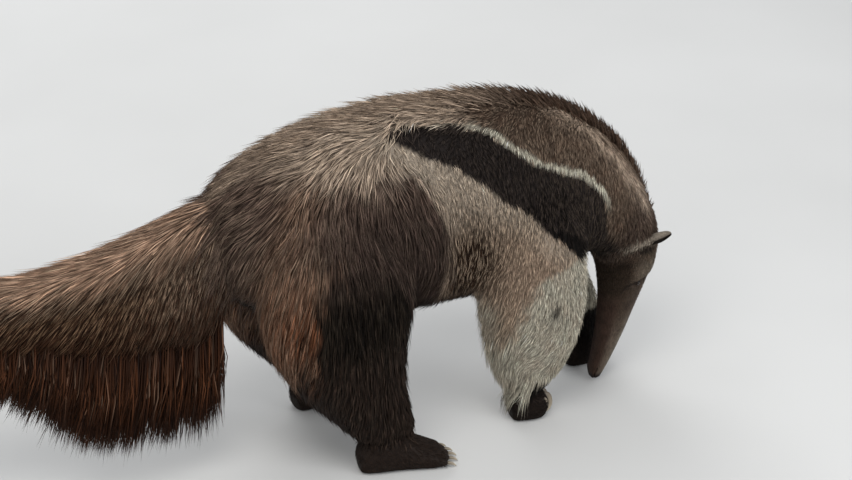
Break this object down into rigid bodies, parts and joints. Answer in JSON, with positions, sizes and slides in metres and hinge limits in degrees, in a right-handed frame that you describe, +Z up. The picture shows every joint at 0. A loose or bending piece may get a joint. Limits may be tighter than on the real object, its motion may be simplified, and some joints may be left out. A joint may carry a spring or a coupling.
{
  "type": "giant anteater",
  "caption": "Still life-size model of a giant anteater standing with its long snout lowered to the ground and its bushy tail held out behind.",
  "frame": {"origin": "middle of the box round the whole animal, on the floor that its feet stand on", "axes": "+X towards the head, +Y to the animal's left, +Z up"},
  "size_m": [1.717, 0.4238, 0.7196],
  "materials": {
    "body_coat": "long coarse fur, ticked brown, with a black chest stripe edged white",
    "tail_coat": "long coarse hair, dark brown ticked with beige",
    "head_coat": "short close fur, grey brown",
    "foreleg_coat": "short pale fur with a dark wrist band",
    "hindleg_coat": "long dark brown fur",
    "foot_skin": "short dark fur over wrinkled skin",
    "ear_skin": "short grey fur, bare dark inside",
    "claw": "satin horn",
    "eye": "glossy dark brown"
  },
  "bodies": {
    "root": {"ear_left": "ear_skin", "ear_right": "ear_skin", "eye_left": "eye", "eye_right": "eye", "foreclaw_left_1": "claw", "foreclaw_left_2": "claw", "foreclaw_left_3": "claw", "foreclaw_left_4": "claw", "foreclaw_right_1": "claw", "foreclaw_right_2": "claw", "foreclaw_right_3": "claw", "foreclaw_right_4": "claw", "forefoot_left": "foot_skin", "forefoot_right": "foot_skin", "foreleg_left": "foreleg_coat", "foreleg_right": "foreleg_coat", "head": "head_coat", "hindclaw_left_1": "claw", "hindclaw_left_2": "claw", "hindclaw_left_3": "claw", "hindclaw_left_4": "claw", "hindclaw_left_5": "claw", "hindclaw_right_1": "claw", "hindclaw_right_2": "claw", "hindclaw_right_3": "claw", "hindclaw_right_4": "claw", "hindclaw_right_5": "claw", "hindfoot_left": "foot_skin", "hindfoot_right": "foot_skin", "hindleg_left": "hindleg_coat", "hindleg_right": "hindleg_coat", "neck": "body_coat", "tail_base": "tail_coat", "tail_middle": "tail_coat", "tail_tip": "tail_coat", "torso": "body_coat"}
  },
  "joints": []
}
